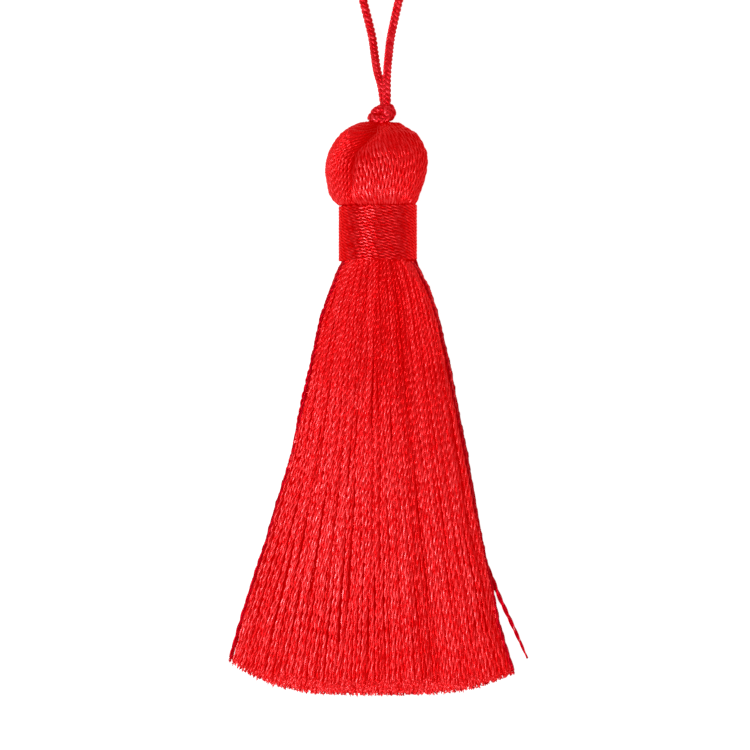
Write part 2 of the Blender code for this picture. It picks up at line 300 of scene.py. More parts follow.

# How the threads fill the skirt
SKIRT_PIECES = 5
SKIRT_COLUMNS = 22
LEAST_THICKNESS = 0.25  # of the skirt at its edges when its threads are shared out, to 1 in the middle
STAGGER = 0.25  # of each second layer to one side, in threads
SLOT_JITTER = 0.12
EDGE_LIMIT = 0.985  # how far across the skirt its height is taken
SETTLED = 0.45  # share of its length from which a thread keeps to its layer
FREE = 0.04  # share of its length from which a thread waves freely
LAYER_CUT = 0.5 * MM  # how much shorter a thread is for each layer under it
LAYERS_UNCUT = 2
LAYERS_CUT = 8  # beyond which threads aren't cut any shorter
SKIRT_LINE_POINTS = 66
INNER_YARN_RINGS = 34
INNER_YARN_END = 0.996  # as a share of the skirt's length
INNER_YARN_WIDTH = 0.97  # as a share of the skirt's width
INNER_YARN_FOOT = 0.07  # as a share of the skirt's thickness
INNER_YARN_SHADE = 0.6  # the painted shade stored on the inner yarn, from 0 to 1; its plain material doesn't read it

# Fibres that part at a thread's cut end
FRAYS = 4
FRAY_RADIUS = 0.13 * MM
FRAY_SIDES = 4
FRAY_SPREAD = 0.4
FRAY_BEND = 0.15
FRAY_LENGTHS = (0.3, 0.8)  # the least and the most, in millimetres
FRAY_STEPS = (-0.35, 0.2, 0.7, 1.0)  # shares of its length, the first inside the thread
FRAY_TAPER = (1.0, 1.0, 0.75, 0.3)

# Silk, with noise scales round a thread and along it: flecks of painted glint, and fibres in bump
FLECK_SCALE = (1.5, 0.9, 1.0)
FLECK_RANGE = (0.36, 0.64)  # of the noise from the darkest fleck of painted glint to the palest
FLECK_START = 200  # the furthest along its flecks that a tube starts, in millimetres
FIBRE_SCALE = (8.0, 0.35, 1.0)
FIBRE_DEPTH = 0.03 * MM
FIBRE_STRENGTH = 0.35

PAINTED_SILK_GLOW = 0.36  # painted glow, in place of red light that scatters from thread to thread inside the yarn

UP = np.array((0.0, 0.0, 1.0))

SPAN_POINTS = 8  # of each span of a smooth line

uneven = np.random.default_rng(11)


def srgb(red, green, blue):
    """A colour for a shader from its 0 to 255 screen values."""
    values = np.array((red, green, blue)) / 255
    linear = np.where(values <= 0.04045, values / 12.92, ((values + 0.055) / 1.055) ** 2.4)
    return (*linear, 1.0)


# Camera, floor and light


def add_camera():
    """A camera straight above the tassel, as in the photograph."""
    data = bpy.data.cameras.new("camera")
    data.sensor_width = SENSOR_WIDTH
    data.lens = SENSOR_WIDTH * CAMERA_DISTANCE / VIEW_WIDTH
    data.clip_start = CLIP_START
    data.clip_end = CLIP_END
    camera = bpy.data.objects.new("camera", data)
    camera.location = (*VIEW_CENTRE, OUTLINE_HEIGHT + CAMERA_DISTANCE)
    bpy.context.scene.collection.objects.link(camera)
    bpy.context.scene.camera = camera


def add_light(name, towards, distance, size, power):
    """A square soft light in a direction from the tassel, facing it."""
    data = bpy.data.lights.new(name, "AREA")
    data.shape = "SQUARE"
    data.size = size
    data.energy = power
    light = bpy.data.objects.new(name, data)
    direction = np.array(towards) / np.linalg.norm(towards)
    light.location = direction * distance
    aim = -light.location
    light.rotation_euler = aim.to_track_quat("-Z", "Y").to_euler()
    bpy.context.scene.collection.objects.link(light)


def add_floor():
    """A plain pale floor that the tassel lies on."""
    half = FLOOR_SIZE / 2
    corners = [(-half, -half, 0), (half, -half, 0), (half, half, 0), (-half, half, 0)]
    mesh = bpy.data.meshes.new("floor")
    mesh.from_pydata(corners, [], [(0, 1, 2, 3)])
    floor = bpy.data.objects.new("floor", mesh)
    bpy.context.scene.collection.objects.link(floor)
    material, _ = plain_material("floor_paint", FLOOR_GREY, 0.9, 0.1, WHITE, FLOOR_GLOW)
    mesh.materials.append(material)


def light_scene():
    """Soft light: a dim room over a bright floor, a key from the left and a fill from the right."""
    world = bpy.data.worlds.new("room")
    world.use_nodes = True
    world.node_tree.nodes["Background"].inputs["Color"].default_value = WHITE
    world.node_tree.nodes["Background"].inputs["Strength"].default_value = ROOM_LIGHT
    bpy.context.scene.world = world
    bpy.context.scene.view_settings.view_transform = "Standard"
    add_light("key", *KEY_LIGHT)
    add_light("fill", *FILL_LIGHT)


# Lines and rings


def smooth_line(points, step):
    """Points about a step apart on a smooth line through the given points."""
    points = np.asarray(points, float)
    slopes = np.gradient(points, axis=0)
    t = np.arange(SPAN_POINTS)[:, None] / SPAN_POINTS
    spans = []
    for start, end, leave, arrive in zip(points, points[1:], slopes, slopes[1:]):
        rise = (3 - 2 * t) * t**2
        spans.append(start + (end - start) * rise + leave * t * (1 - t) ** 2 - arrive * t**2 * (1 - t))
    line = np.concatenate(spans + [points[-1:]])
    along = distance_along(line)
    places = np.linspace(0, along[-1], max(3, round(along[-1] / step) + 1))
    return np.stack([np.interp(places, along, line[:, axis]) for axis in range(3)], axis=1)


def distance_along(line):
    """How far each point of a line is from its start, measured along it."""
    return np.concatenate(([0.0], np.cumsum(np.linalg.norm(np.diff(line, axis=0), axis=1))))


def unit(vectors):
    """Vectors of length one in the same directions."""
    return vectors / np.maximum(np.linalg.norm(vectors, axis=-1, keepdims=True), 1e-12)


def carried_up(line, up):
    """A direction across the line at each point, carried along it without turning about it."""
    tangents = unit(np.gradient(line, axis=0))
    ups = np.empty_like(line)
    for place, tangent in enumerate(tangents):
        up = unit(up - tangent * np.dot(up, tangent))
        ups[place] = up
    return ups


def rings_round(line, up, radius, outline, twist=0.0):
    """Rings of points round a line, each a closed outline.

    The outline gives each point's share of the radius, and twist turns it.
    """
    tangents = unit(np.gradient(line, axis=0))
    sides = unit(np.cross(np.broadcast_to(up, line.shape), tangents))
    tops = np.cross(tangents, sides)
    angles = 2 * np.pi * np.arange(len(outline)) / len(outline)
    turned = angles[None, :] + np.broadcast_to(twist, len(line))[:, None]
    reach = np.broadcast_to(radius, len(line))[:, None] * np.asarray(outline)[None, :]
    across = (reach * np.cos(turned))[..., None] * sides[:, None, :]
    upward = (reach * np.sin(turned))[..., None] * tops[:, None, :]
    return line[:, None, :] + across + upward


def add_thread(bundle, line, up, pitch, shade, size=1.0, flat=1.0, deep=0.0):
    """Adds a thread of two plies, twisted together to the right round its line.

    Size is its thickness in threads of the skirt, flat is that as a share of its width, and deep is how
    much painted shade it gets all over, from 0 to 1.
    """
    tangents = unit(np.gradient(line, axis=0))
    sides = unit(np.cross(np.broadcast_to(up, line.shape), tangents))
    tops = np.cross(tangents, sides)
    turned = twist_angles(line, pitch, uneven.uniform(0, 2 * np.pi))
    size = np.broadcast_to(size, len(line))
    for angle in (turned, turned + np.pi):
        outward = np.cos(angle)[:, None] * sides + np.sin(angle)[:, None] * tops
        ply = line + outward * (PLY_OFFSET * size)[:, None]
        rings = rings_round(ply, up, PLY_RADIUS * size, (1.0,) * PLY_SIDES)
        # Painted shade: points nearer the thread's middle, between its plies, are painted darker, more
        # so for deep.
        apart = rings - line[:, None, :]
        reach = np.linalg.norm(apart, axis=-1) / (size * (PLY_OFFSET + PLY_RADIUS))[:, None]
        raised = np.sum(apart * tops[:, None, :], axis=-1, keepdims=True)
        rings = rings - (1 - flat) * raised * tops[:, None, :]
        open_share = 1 - np.broadcast_to(deep, len(line))[:, None]
        bundle.add(rings, shade, 1 - np.clip(reach, 0, 1) * open_share)


def twist_angles(line, pitch, start):
    """The angle of the plies at each point, turned once to the right in each pitch."""
    steps = np.diff(distance_along(line))
    pitches = np.broadcast_to(pitch, len(line))
    turns = np.concatenate(([0.0], np.cumsum(steps / pitches[1:])))
    return start + 2 * np.pi * turns


class Bundle:
    """Closed tubes gathered to be one mesh, each with a shade of its own."""

    def __init__(self):
        self.points = []
        self.faces = []
        self.coordinates = []
        self.shades = []
        self.hollow_shades = []
        self.count = 0

    def add(self, rings, shade, hollow_shade=0.0):
        """Adds one tube from its rings of points.

        Shade is how pale each ring is, towards the pink that paints sheen, and the last value is the
        painted shade of each point, in grooves and recesses, both from 0 to 1.
        """
        rows, columns, _ = rings.shape
        index = self.count + np.arange(rows * columns).reshape(rows, columns)
        beside = np.roll(index, -1, axis=1)
        quads = np.stack((index[:-1], beside[:-1], beside[1:], index[1:]), axis=-1).reshape(-1, 4)
        self.faces += quads.tolist() + [index[0][::-1].tolist(), index[-1].tolist()]
        along = distance_along(rings.mean(axis=1)) / MM + uneven.uniform(0, FLECK_START)
        round_it = np.arange(columns + 1) / columns
        here, next_one = slice(None, -1), slice(1, None)
        corners = [
            np.stack(np.broadcast_arrays(round_it[None, column], along[row, None]), axis=-1)
            for column, row in ((here, here), (next_one, here), (next_one, next_one), (here, next_one))
        ]
        corners = np.stack(corners, axis=2).reshape(-1, 2)
        self.coordinates += [corners, np.zeros((2 * columns, 2))]
        self.points.append(rings.reshape(-1, 3))
        self.hollow_shades.append(np.broadcast_to(hollow_shade, (rows, columns)).ravel())
        self.shades.append(np.repeat(np.broadcast_to(shade, rows), columns))
        self.count += rows * columns

    def piece(self, name, material):
        """Makes the mesh and its object."""
        mesh = bpy.data.meshes.new(name)
        mesh.from_pydata(np.concatenate(self.points), [], self.faces)
        layer = mesh.uv_layers.new(name="thread")
        layer.data.foreach_set("uv", np.concatenate(self.coordinates).ravel())
        for name_of_values, values in (("shade", self.shades), ("hollow_shade", self.hollow_shades)):
            attribute = mesh.attributes.new(name_of_values, "FLOAT", "POINT")
            attribute.data.foreach_set("value", np.concatenate(values))
        mesh.shade_smooth()
        mesh.materials.append(material)
        piece = bpy.data.objects.new(name, mesh)
        bpy.context.scene.collection.objects.link(piece)
        return piece


# Materials


def plain_material(name, colour, roughness, gloss, glow_colour, glow):
    """A material of one colour, which also gives off some light, and its shader."""
    material = bpy.data.materials.new(name)
    material.use_nodes = True
    shader = material.node_tree.nodes["Principled BSDF"]
    shader.inputs["Base Color"].default_value = colour
    shader.inputs["Roughness"].default_value = roughness
    shader.inputs["Specular IOR Level"].default_value = gloss
    shader.inputs["Emission Color"].default_value = glow_colour
    shader.inputs["Emission Strength"].default_value = glow
    return material, shader


def inner_material():
    """The silk inside, painted darker as shade since it gets no direct light, with painted glow and no
    gloss.
    """
    material, _ = plain_material("inner_silk", srgb(90, 0, 0), 0.9, 0.0, RED, PAINTED_SILK_GLOW)
    return material


def silk_material(name, dark, base, bright, roughness, glow=PAINTED_SILK_GLOW, coloured=0.6):
    """Dyed silk of fine fibres: each thread has its own tone and painted sheen, with flecks of painted
    glint, painted shade between its plies and in recesses, and a painted glow.

    The coloured share of its gloss comes back out of the dyed fibres, as red as they are.
    """
    # The glow is painted glow, which lifts the silk's shaded parts.
    material, shader = plain_material(name, base, roughness, 0.2, RED, glow)
    shader.inputs["Metallic"].default_value = coloured
    shader.inputs["Specular Tint"].default_value = (1.0, 0.05, 0.055, 1.0)
    nodes = material.node_tree.nodes
    links = material.node_tree.links
    place = nodes.new("ShaderNodeUVMap")
    place.uv_map = "thread"

    def attribute(title):
        node = nodes.new("ShaderNodeAttribute")
        node.attribute_name = title
        return node.outputs["Fac"]

    def noise(scale, detail):
        stretch = nodes.new("ShaderNodeMapping")
        stretch.inputs["Scale"].default_value = scale
        links.new(place.outputs["UV"], stretch.inputs["Vector"])
        texture = nodes.new("ShaderNodeTexNoise")
        texture.inputs["Scale"].default_value = 1.0
        texture.inputs["Detail"].default_value = detail
        links.new(stretch.outputs["Vector"], texture.inputs["Vector"])
        return texture.outputs["Fac"]

    def mixed(factor, low, high):
        node = nodes.new("ShaderNodeMix")
        node.data_type = "RGBA"
        links.new(factor, node.inputs["Factor"])
        for socket, value in (("A", low), ("B", high)):
            target = [item for item in node.inputs if item.name == socket and item.type == "RGBA"][0]
            if isinstance(value, tuple):
                target.default_value = value
            else:
                links.new(value, target)
        return [item for item in node.outputs if item.type == "RGBA"][0]

    # Painted glints: noise flecks that let each thread's painted sheen through in spots.
    flecks = nodes.new("ShaderNodeMapRange")
    flecks.inputs["From Min"].default_value = FLECK_RANGE[0]
    flecks.inputs["From Max"].default_value = FLECK_RANGE[1]
    links.new(noise(FLECK_SCALE, 1.0), flecks.inputs["Value"])
    # Each thread's tone, from its own red towards the pink that paints sheen: partly random, partly
    # painted light.
    colour = mixed(attribute("shade"), base, bright)
    colour = mixed(flecks.outputs["Result"], base, colour)
    # Painted shade: mixed towards the shade colour between plies and in recesses.
    colour = mixed(attribute("hollow_shade"), colour, dark)
    links.new(colour, shader.inputs["Base Color"])

    fibres = nodes.new("ShaderNodeBump")
    fibres.inputs["Strength"].default_value = FIBRE_STRENGTH
    fibres.inputs["Distance"].default_value = FIBRE_DEPTH
    links.new(noise(FIBRE_SCALE, 2.0), fibres.inputs["Height"])
    links.new(fibres.outputs["Normal"], shader.inputs["Normal"])
    return material


# Braided cord


def braid(bundle, line, radius, shades):
    """Eight strands round a line, four each way, each over two and under two of the others."""
    ups = carried_up(line, UP)
    tangents = unit(np.gradient(line, axis=0))
    sides = unit(np.cross(ups, tangents))
    along = 2 * np.pi * distance_along(line) / BRAID_PITCH
    for way in (1, -1):
        for strand in range(4):
            angle = way * along + strand * np.pi / 2
            lift = way * np.cos(2 * along + way * (np.pi * strand - np.pi / 4))
            outward = np.cos(angle)[:, None] * sides + np.sin(angle)[:, None] * ups
            distance = (STRAND_DISTANCE + STRAND_LIFT * lift) * radius
            centre = line + outward * distance[:, None]
            rings = rings_round(centre, outward, STRAND_RADIUS * radius, STRAND_OUTLINE)
            # Painted shade inside the cord: strands are painted darker nearer its middle.
            reach = np.linalg.norm(rings - line[:, None, :], axis=-1) / radius
            bundle.add(rings, uneven.uniform(*shades), np.interp(reach, BRAID_HOLLOW, (1.0, 0.0)))


def make_loop(material):
    """The hanging cord, from the knot round the loop and back to the knot."""
    line = smooth_line(np.array(LOOP_ROUTE) * MM, BRAID_STEP)
    line[:, 2] = np.maximum(line[:, 2], CORD_REST_HEIGHT)
    into_knot = np.arange(STEPS_INTO_KNOT, 0, -1)[:, None] * BRAID_STEP
    before = line[0] + unit(line[0] - line[4]) * into_knot
    after = line[-1] + unit(line[-1] - line[-5]) * into_knot[::-1]
    bundle = Bundle()
    braid(bundle, np.concatenate((before, line, after)), BRAID_RADIUS, LOOP_SHADES)
    return bundle.piece("braided_loop", material), line


def make_knot(material):
    """The knot of braided cord on the crown of the head."""
    line = smooth_line((np.array(KNOT_ROUTE) + KNOT_CENTRE) * MM, KNOT_STEP)
    bundle = Bundle()
    braid(bundle, line, KNOT_BRAID_RADIUS, KNOT_SHADES)
    return bundle.piece("braided_knot", material)


# Skirt


def skirt_section(share):
    """The spread, underside, rise of the underside and top of the skirt at each share of its length."""
    columns = np.array(SKIRT_SECTIONS).T
    spread = np.interp(share, columns[0], columns[1])
    underside, rise, top = (np.interp(share, columns[0], column) * MM for column in columns[2:])
    return spread, underside, rise, top


def skirt_heights(across, share):
    """Height of the skirt's underside and top at a place across it."""
    _, underside, rise, top = skirt_section(share)
    crown = np.sqrt(np.maximum(0.0, 1 - np.abs(across) ** (2 + share)))
    low = underside + rise * (1 - crown)
    return low, low + (top - underside) * crown


def neck_places():
    """Where each thread passes the neck: circles packed close, as X and height from the axis."""
    spacing = THREAD_SPACING
    radius = SKIRT_TOP_RADIUS - THREAD_RADIUS
    row_step = spacing * math.sqrt(3) / 2
    rows = int(radius / row_step)
    places = []
    for row in range(-rows, rows + 1):
        height = row * row_step
        shift = spacing / 2 if row % 2 else 0.0
        count = int(2 * radius / spacing) + 2
        for step in range(-count, count + 1):
            x = step * spacing + shift
            if math.hypot(x, height) <= radius:
                places.append((x, height))
    places = np.array(places)
    return places * radius / np.linalg.norm(places, axis=1).max()


def end_places(places):
    """For each thread, where it ends across the skirt, its height there and its layers above and below.

    The threads are sorted into columns by where they pass the neck, and each column into layers.
    """
    order = np.argsort(places[:, 0], kind="stable")
    groups = np.array_split(order, SKIRT_COLUMNS)
    scale = np.linspace(-1, 1, 801)
    thickness = np.sqrt(np.maximum(0.0, 1 - np.abs(scale) ** 3)) + LEAST_THICKNESS
    filled = np.cumsum(thickness)
    filled = (filled - filled[0]) / (filled[-1] - filled[0])
    across = np.empty(len(places))
    height = np.empty(len(places))
    above = np.empty(len(places), int)
    below = np.empty(len(places), int)
    done = 0
    for group in groups:
        left, right = np.interp((done / len(places), (done + len(group)) / len(places)), filled, scale)
        done += len(group)
        width = (right - left) * (SKIRT_RIGHT - SKIRT_LEFT) / 2
        per_layer = max(1, round(width / LAYER_SPACING))
        layers = math.ceil(len(group) / per_layer)
        from_top = group[np.argsort(-places[group, 1], kind="stable")]
        for level in range(layers):
            threads = from_top[level * per_layer : (level + 1) * per_layer]
            threads = threads[np.argsort(places[threads, 0], kind="stable")]
            stagger = STAGGER if level % 2 else -STAGGER
            jitter = uneven.uniform(-SLOT_JITTER, SLOT_JITTER, len(threads))
            slots = (np.arange(len(threads)) + 0.5 + stagger + jitter) / len(threads)
            across[threads] = left + (right - left) * slots
            height[threads] = (layers - level - 0.5) / layers
            above[threads] = level
            below[threads] = layers - 1 - level
    in_order = np.sort(across)
    across[across < 0] /= -in_order[OUTERMOST - 1]
    across[across > 0] /= in_order[-OUTERMOST]
    across = np.clip(across, -1, 1)
    return across, height, above, below


def edge_bulges(share):
    """How far the left and the right edge bulge out at each share of the skirt's length."""
    columns = np.array(EDGE_BULGE).T
    return [np.interp(share, columns[0], column) * MM for column in columns[1:]]


def wave(phase, rate, at_neck, at_end, within):
    """A wave along a thread of the skirt, as high in millimetres as given at the neck and at the end.

    Rate is in radians over the skirt's length, and within is each point's share of that length.
    """
    height = (at_neck + (at_end - at_neck) * within) * MM
    return height * np.clip(within / FREE, 0, 1) * np.sin(phase + rate * within)


def skirt_line(place, across, height, wander):
    """The centre line of one thread of the skirt, from inside the neck band to the lower edge."""
    share = np.concatenate(((-0.01,), np.linspace(0.0, 1.0, SKIRT_LINE_POINTS) ** 1.05))
    within = np.clip(share, 0, 1)
    spread = skirt_section(within)[0]
    corner = SKIRT_LEFT if across < 0 else SKIRT_RIGHT
    rise = LEFT_CORNER_RISE if across < 0 else RIGHT_CORNER_RISE
    end_y = SKIRT_END + rise * abs(across) ** CORNER_POWER
    squeeze = np.interp(share, (-0.01, 0.0, 0.015), (0.92, 0.93, 1.0))  # inside the neck band
    x = place[0] * squeeze + (abs(across) * corner - place[0]) * spread
    y = SKIRT_TOP + (end_y - SKIRT_TOP) * share
    edge = SKIRT_TOP_RADIUS + (abs(corner) - SKIRT_TOP_RADIUS) * spread
    low, high = skirt_heights(np.clip(x / edge, -EDGE_LIMIT, EDGE_LIMIT), within)
    low = low + THREAD_RADIUS
    high = np.maximum(high - THREAD_RADIUS, low)
    neck_height = math.sqrt(max(1e-9, 1 - (place[0] / SKIRT_TOP_RADIUS) ** 2))
    neck_height = neck_height * (SKIRT_TOP_RADIUS - THREAD_RADIUS)
    start = np.clip(0.5 + 0.5 * place[1] / neck_height, 0, 1)
    settle = np.clip(within / SETTLED, 0, 1)
    settle = settle**2 * (3 - 2 * settle)
    z = low + (high - low) * (start + (height - start) * settle)
    phases = wander * 2 * np.pi
    x = x + wave(phases[0], 9, 0.28, 0.28, within) * wander[1]
    x = x + wave(phases[2], 31, 0.08, 0.08, within)
    x = x + wave(phases[1], 120, 0.07, 0.01, within)
    z = z + wave(phases[3], 95, 0.12, 0.06, within)
    z = z + wave(phases[4], 11, 0.15, 0.15, within)
    bulge_left, bulge_right = edge_bulges(within)
    outermost = np.clip((abs(across) - 0.5) / 0.5, 0, 1)
    x = x + (-bulge_left if across < 0 else bulge_right) * outermost
    return np.stack((x, y, np.maximum(z, THREAD_RADIUS)), axis=1)


def add_skirt_core(bundle):
    """The yarn inside the skirt, which hardly shows between the threads."""
    share = np.linspace(0.0, INNER_YARN_END, INNER_YARN_RINGS)
    spread = skirt_section(share)[0]
    angles = 2 * np.pi * np.arange(CORE_POINTS) / CORE_POINTS
    sideways = np.cos(angles)[None, :]
    corner = np.where(sideways < 0, -SKIRT_LEFT, SKIRT_RIGHT)
    edge = SKIRT_TOP_RADIUS + (corner - SKIRT_TOP_RADIUS) * spread[:, None]
    bulge_left, bulge_right = np.minimum(edge_bulges(share), 0)
    drawn_in = np.where(sideways < 0, bulge_left[:, None], bulge_right[:, None])
    inset = np.interp(share, (0.0, 0.3), (0.8, 0.3))[:, None] * MM
    x = (INNER_YARN_WIDTH * edge - inset + drawn_in) * sideways
    low, high = skirt_heights(np.clip(x / edge, -EDGE_LIMIT, EDGE_LIMIT), share[:, None])
    filled = np.interp(share, (0.88, 0.95), (0.8, 0.2))[:, None]
    rounded = 0.5 + 0.5 * np.sign(np.sin(angles)) * np.abs(np.sin(angles)) ** 0.3
    z = low + (high - low) * (INNER_YARN_FOOT + (filled - INNER_YARN_FOOT) * rounded)
    rise = np.where(sideways < 0, LEFT_CORNER_RISE, RIGHT_CORNER_RISE)
    end_y = SKIRT_END + rise * np.abs(sideways) ** CORNER_POWER
    y = SKIRT_TOP + (end_y - SKIRT_TOP) * share[:, None]
    bundle.add(np.stack((x, y, z), axis=-1), 0.0, INNER_YARN_SHADE)


def add_fray(bundle, line, shade):
    """Adds the fibres that part at a thread's cut end."""
    tip = line[-1]
    ahead = unit(line[-1] - line[-4])
    steps = np.array(FRAY_STEPS)[:, None]
    leaning = (0.3, 0.0, 1.0)  # across the fibres, whichever way they part
    for _ in range(FRAYS):
        way = unit(ahead + uneven.normal(0, FRAY_SPREAD, 3))
        bend = uneven.normal(0, FRAY_BEND, 3)
        reach = uneven.uniform(*FRAY_LENGTHS) * MM
        points = tip + way * reach * steps + bend * reach * steps**2
        points[:, 2] = np.maximum(points[:, 2], FRAY_RADIUS)
        taper = np.array(FRAY_TAPER) * FRAY_RADIUS
        bundle.add(rings_round(points, leaning, taper, (1.0,) * FRAY_SIDES), shade)


def stray_lines():
    """The lines of the two threads that leave the right edge and end apart from it."""
    share, away = np.array(STRAY_SECTIONS).T
    spread = skirt_section(share)[0]
    edge = SKIRT_TOP_RADIUS + (SKIRT_RIGHT - SKIRT_TOP_RADIUS) * spread
    y = SKIRT_TOP + (SKIRT_END + RIGHT_CORNER_RISE - SKIRT_TOP) * share
    low, high = skirt_heights(0.97, share)
    foot = np.where(low > 0, (low + high) / 2 - 0.5 * MM, 0.0)
    parting = np.interp(share, (0.6, 0.9, 0.965), (1.0, 1.1, 0.3))  # of the two threads from each other
    for beside, over in ((0.1, 0.0), (0.45, 0.1)):
        x = edge + np.maximum(edge_bulges(share)[1], 0) + away * MM + beside * MM * parting
        x[0] = SKIRT_TOP_RADIUS - 0.7 * MM
        yield np.stack((x, y, foot + THREAD_RADIUS + over * MM * parting), axis=1)


def add_strays(bundle):
    """Adds the two threads that leave the right edge."""
    for stray in stray_lines():
        line = smooth_line(stray, RING_STEP)
        line[:, 2] = np.maximum(line[:, 2], PLY_OFFSET + PLY_RADIUS)
        slim = np.interp(np.linspace(0, 1, len(line)), (0.6, 0.7, 0.85, 1.0), (1.0, 0.85, 0.85, 0.45))
        add_thread(bundle, line, UP, PITCH_AT_END, 0.0, slim)


def add_top_thread(bundle, line, shade, across, chance):
    """Adds a thread that shows along its whole length. By chance, some stay on top but get painted
    shade.
    """
    share = np.linspace(0, 1, len(line))
    # Painted light: painted shade near the neck and on the skirt's right side, away from the key light.
    shade = shade * np.interp(share, *PALE_DOWN_SKIRT) * np.interp(across, *PALE_ACROSS_SKIRT)
    pitch = (PITCH_AT_NECK + (PITCH_AT_END - PITCH_AT_NECK) * share) * uneven.uniform(*SKIRT_PITCHES)
    # Painted shade on a share of the threads on top, as if they lay sunk between the others.
    deep = PAINTED_SUNK_SHADE if chance > 1 - PAINTED_SUNK_SHARE else 0.0
    add_thread(bundle, line, UP, pitch, shade, flat=TOP_FLATNESS, deep=deep)
    add_fray(bundle, line, shade[-1])


def add_lower_thread(bundle, fray_bundle, line, shade, stride):
    """Adds a thread that shows only at its end. The rest is a plain tube, with a ring in each stride."""
    plied_rings = round(END_PLIED / RING_STEP)
    plied = line[-plied_rings:]
    add_thread(bundle, plied, UP, PITCH_AT_END, shade)
    add_fray(fray_bundle, plied, shade)
    plain = line[: 2 - plied_rings][::stride]
    twist = twist_angles(plain, PITCH_AT_END, uneven.uniform(0, 2 * np.pi))
    bundle.add(rings_round(plain, UP, THREAD_RADIUS, PLAIN_OUTLINE, twist), shade, PLAIN_HOLLOW)


def make_skirt(material, edge_material):
    """All the skirt's threads, in pieces from left to right, and then those at its edges."""
    places = neck_places()
    across, height, above, below = end_places(places)
    pieces = []
    # Edge threads, strays and the lowest frays, which get the painted-shade silk.
    edges = Bundle()
    add_strays(edges)
    for number, part in enumerate(np.array_split(np.argsort(across), SKIRT_PIECES)):
        inner = Bundle()
        for thread in part:
            bundle = edges if abs(across[thread]) > EDGE_SHARE else inner
            wander = uneven.random(5)
            step = FINE_RING_STEP if above[thread] == 0 else RING_STEP
            line = skirt_line(places[thread], across[thread], height[thread], wander)
            line = smooth_line(line, step)
            line[:, 2] = np.maximum(line[:, 2], PLY_OFFSET + PLY_RADIUS)
            short = LAYER_CUT * max(0, min(below[thread], LAYERS_CUT) - LAYERS_UNCUT)
            short += uneven.uniform(0, 0.3 + 0.12 * below[thread]) * MM
            along = distance_along(line)
            line = line[along <= along[-1] - short]
            shade = uneven.uniform(*SKIRT_SHADES)
            if above[thread] == 0:
                add_top_thread(bundle, line, shade, across[thread], wander[0])
            else:
                # The frays of the two lowest layers get the painted-shade silk, and the threads next to
                # the air show a little.
                fray_bundle = edges if below[thread] <= 1 else bundle
                stride = 2 if above[thread] == 1 or below[thread] == 0 else 4
                add_lower_thread(bundle, fray_bundle, line, shade, stride)
        pieces.append(inner.piece(f"skirt_threads_{number + 1}", material))
    return pieces + [edges.piece("edge_threads", edge_material)]


# Head and neck


def head_form(place):
    """Y, half width and centre in X of the head, from 0 at the neck to 1 at the crown."""
    rows = np.array(HEAD_SECTIONS) * MM
    steps = distance_along(rows[:, :2])
    at = np.asarray(place) * steps[-1]
    return [np.interp(at, steps, rows[:, column]) for column in range(3)]


def run_angles(neck, runs, place):
    """The angle of a head thread at each place, in radians, from its angle at the neck in degrees."""
    rows = np.array(runs, float)
    nodes = [np.interp(neck, rows[:, 0], column) for column in rows.T]
    curve = np.interp(place, RUN_PLACES, nodes)
    smooth = np.convolve(np.pad(curve, 2, mode="edge"), np.ones(5) / 5, mode="valid")
    return np.radians(smooth)


def head_thread(neck, runs, sunk, dive):
    """The centre line of one head thread, the way out of the head and its painted shade at each point.

    Where the threads crowd towards the crown, this one goes under the others from its dive onwards.
    """
    place = np.linspace(0, 1, HEAD_LINE_POINTS)
    angles = run_angles(neck, runs, place)
    along, half_width, centre = head_form(place)
    under = DIVE_DEPTH * np.clip((place - dive) / DIVE_LENGTH, 0, 1)
    depth = sunk(np.degrees(angles), place) + under
    radius = np.maximum(half_width - THREAD_RADIUS - depth, LEAST_RADIUS)
    x = centre + radius * np.cos(angles)
    z = AXIS_HEIGHT + radius * np.sin(angles)
    outward = np.stack((np.cos(angles), np.zeros_like(along), np.sin(angles)), axis=1)
    line = np.stack((x, along, np.maximum(z, THREAD_RADIUS)), axis=1)
    # Painted shade, from how far under the head's surface the thread lies.
    return line, outward, np.clip(depth / FULL_SHADE_DEPTH, 0, 1)


def cleft_angle(place):
    """The angle of the cleft between the lobe and the fan, in degrees."""
    return np.interp(place, RUN_PLACES, CLEFT_RUN)


def fan_sunk(angle, place):
    """How deep the fan's threads lie where they come out from under the lobe."""
    width = np.interp(place, (0.0, 0.5, 1.0), (7, 9, 14))
    depth = np.interp(place, (0.0, 0.3, 0.7, 1.0), (0.3, 1.0, 1.9, 1.2)) * MM
    away = np.minimum(cleft_angle(place) - angle, 60)
    under = np.clip(-away / 8, 0, 1)
    return depth * np.exp(-((np.maximum(away, 0) / width) ** 2)) + 1.2 * MM * under


def lobe_sunk(angle, place):
    """How the lobe is rounded off along the cleft."""
    width = np.interp(place, (0.0, 0.42, 0.6, 0.75, 1.0), (4, 6, 14, 26, 30))
    depth = np.interp(place, (0.0, 0.42, 0.6, 0.75, 1.0), (0.2, 0.6, 1.3, 1.9, 1.0)) * MM
    away = np.maximum(angle - cleft_angle(place), 0)
    return depth * np.exp(-((away / width) ** 2))


def add_core(bundle):
    """The yarn inside the head and the neck, which hardly shows between the threads."""
    along, half_width, centre = head_form(np.linspace(0, 1, CORE_RINGS))
    along = np.concatenate(((BAND_FOOT, BAND_TOP - 0.5 * MM), along[1:]))
    in_head = np.maximum(half_width[1:] - CORE_DEPTH, LEAST_RADIUS)
    radius = np.concatenate(((NECK_RADIUS, NECK_RADIUS), in_head))
    centre = np.concatenate(((0.0, 0.0), centre[1:]))
    angles = -2 * np.pi * np.arange(CORE_POINTS) / CORE_POINTS
    x = centre[:, None] + radius[:, None] * np.cos(angles)
    z = AXIS_HEIGHT + radius[:, None] * np.sin(angles)
    y = np.broadcast_to(along[:, None], x.shape)
    bundle.add(np.stack((x, y, z), axis=-1), 0.0, INNER_YARN_SHADE)


def make_inside(material):
    """The yarn inside the head, the neck and the skirt."""
    bundle = Bundle()
    add_core(bundle)
    add_skirt_core(bundle)
    return bundle.piece("inner_yarn", material)


